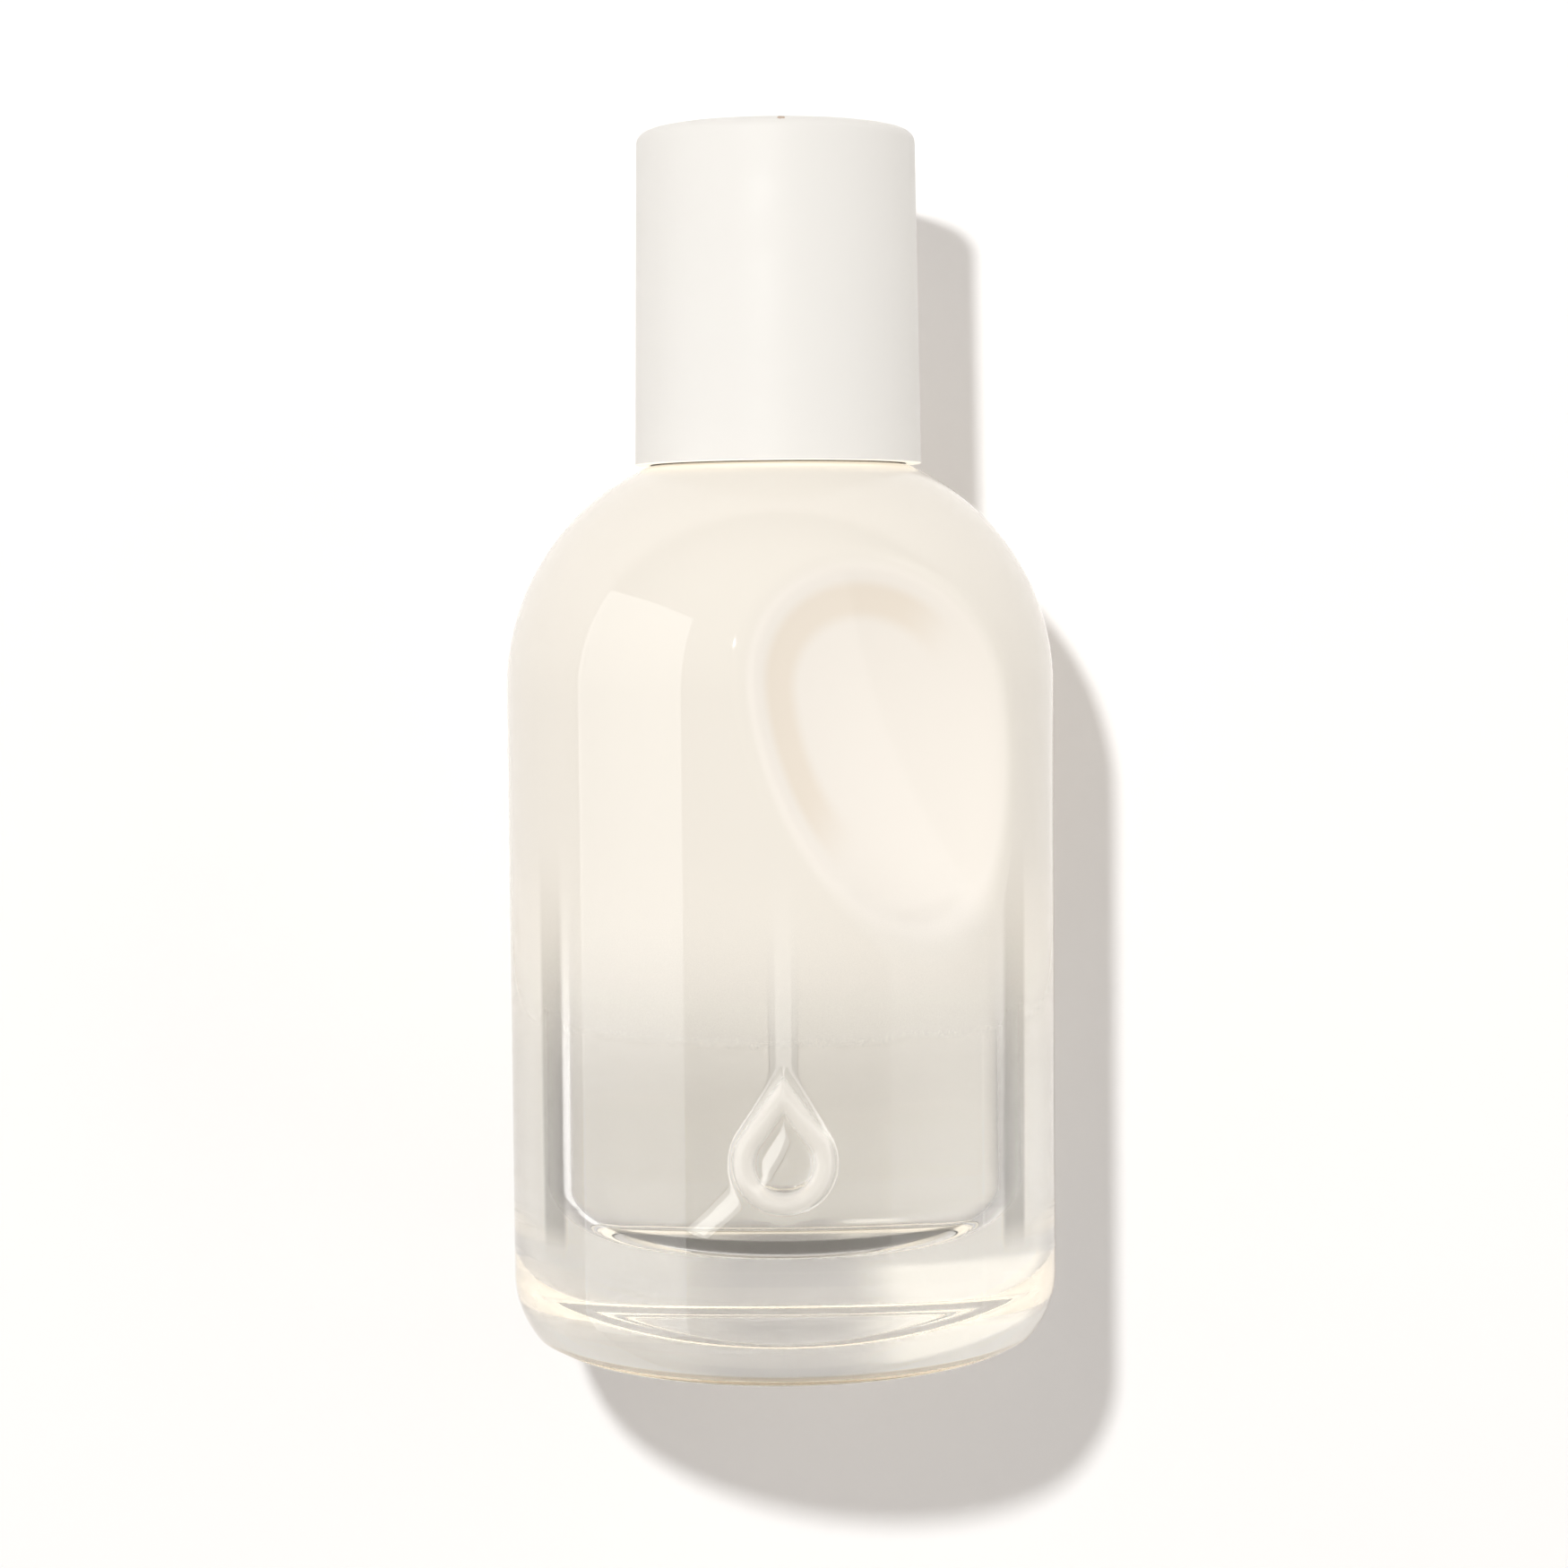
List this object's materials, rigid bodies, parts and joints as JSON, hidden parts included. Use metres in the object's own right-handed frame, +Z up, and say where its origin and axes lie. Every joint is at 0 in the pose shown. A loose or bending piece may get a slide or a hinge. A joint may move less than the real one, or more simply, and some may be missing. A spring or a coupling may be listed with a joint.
{
  "type": "fragrance spray bottle",
  "caption": "Round thick glass spray bottle with a thumb dent, a raised drop, a crimped mist pump with dip tube, a press button and a straight pull-off cap.",
  "frame": {"origin": "middle of the ring that the bottle stands on", "axes": "+Z up through the neck and cap, -Y towards the raised drop and the spray nozzle, +X to the viewer's right"},
  "size_m": [0.055, 0.0559, 0.121],
  "materials": {
    "lacquered_glass": "polished",
    "liquid": "polished",
    "gasket_rubber": "matte",
    "pump_plastic": "satin",
    "tube_plastic": "gloss",
    "spring_steel": "satin",
    "ferrule_aluminium": "satin",
    "collar_aluminium": "satin",
    "button_plastic": "satin",
    "liner_plastic": "satin",
    "cap_plastic": "satin"
  },
  "bodies": {
    "bottle": {"glass_bottle": "lacquered_glass", "fragrance": "liquid", "neck_gasket": "gasket_rubber", "pump_housing": "pump_plastic", "dip_tube": "tube_plastic", "return_spring": "spring_steel", "stem_seal": "gasket_rubber", "turret": "pump_plastic", "crimp_ferrule": "ferrule_aluminium", "collar": "collar_aluminium"},
    "inlet_valve": {"inlet_ball": "spring_steel"},
    "pump_piston": {"piston": "pump_plastic"},
    "stem": {"stem": "pump_plastic", "plunger": "pump_plastic", "precompression_spring": "spring_steel"},
    "actuator": {"actuator_core": "button_plastic", "actuator_shell": "button_plastic", "spray_insert": "pump_plastic"},
    "cap": {"cap_shell": "cap_plastic", "cap_insert": "liner_plastic"}
  },
  "joints": [
    {"name": "cap_pull", "type": "slide", "parent": "bottle", "child": "cap", "axis": [0, 0, 1], "range_m": [0, 0.04]},
    {"name": "actuator_press", "type": "slide", "parent": "bottle", "child": "stem", "axis": [0, 0, -1], "range_m": [0, 0.0045], "stiffness_N_per_m": 1500, "springref_m": -0.003, "deforming": ["return_spring", "precompression_spring"]},
    {"name": "actuator_aim", "type": "hinge", "parent": "stem", "child": "actuator", "pos_m": [0, 0, 0.1], "axis": [0, 0, 1], "continuous": true},
    {"name": "piston_slide", "type": "slide", "parent": "bottle", "child": "pump_piston", "axis": [0, 0, -1], "range_m": [0, 0.00385]},
    {"name": "inlet_ball_lift", "type": "slide", "parent": "bottle", "child": "inlet_valve", "axis": [0, 0, 1], "range_m": [0, 0.0008]}
  ],
  "couplings": [
    {"joint": "piston_slide", "follows": "actuator_press", "ratio": 0.8555}
  ]
}
